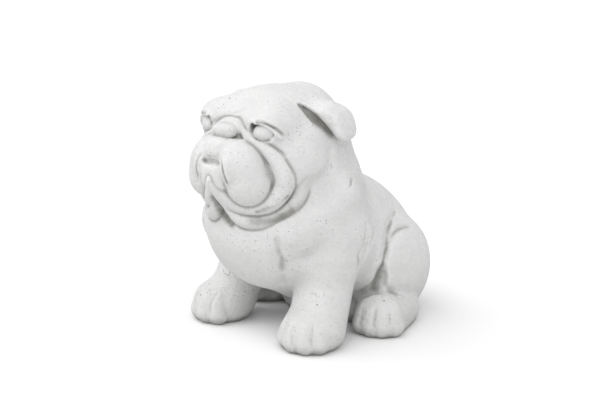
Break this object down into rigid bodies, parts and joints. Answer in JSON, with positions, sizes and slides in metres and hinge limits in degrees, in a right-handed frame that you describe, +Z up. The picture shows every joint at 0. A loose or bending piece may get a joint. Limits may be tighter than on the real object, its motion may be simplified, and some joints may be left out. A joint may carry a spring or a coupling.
{
  "type": "garden statue",
  "caption": "Seated bulldog garden statue cast in one piece of pale stone, head raised, standing on its paws and rump.",
  "frame": {"origin": "middle of the footprint of the whole statue, on the ground under it", "axes": "+Z up, the dog looks along -Y, +X is the dog's left side"},
  "size_m": [0.259, 0.2994, 0.2836],
  "materials": {
    "cast_stone": "rough cast stone, matt, with small air pores"
  },
  "bodies": {
    "root": {"bulldog": "cast_stone"}
  },
  "joints": []
}
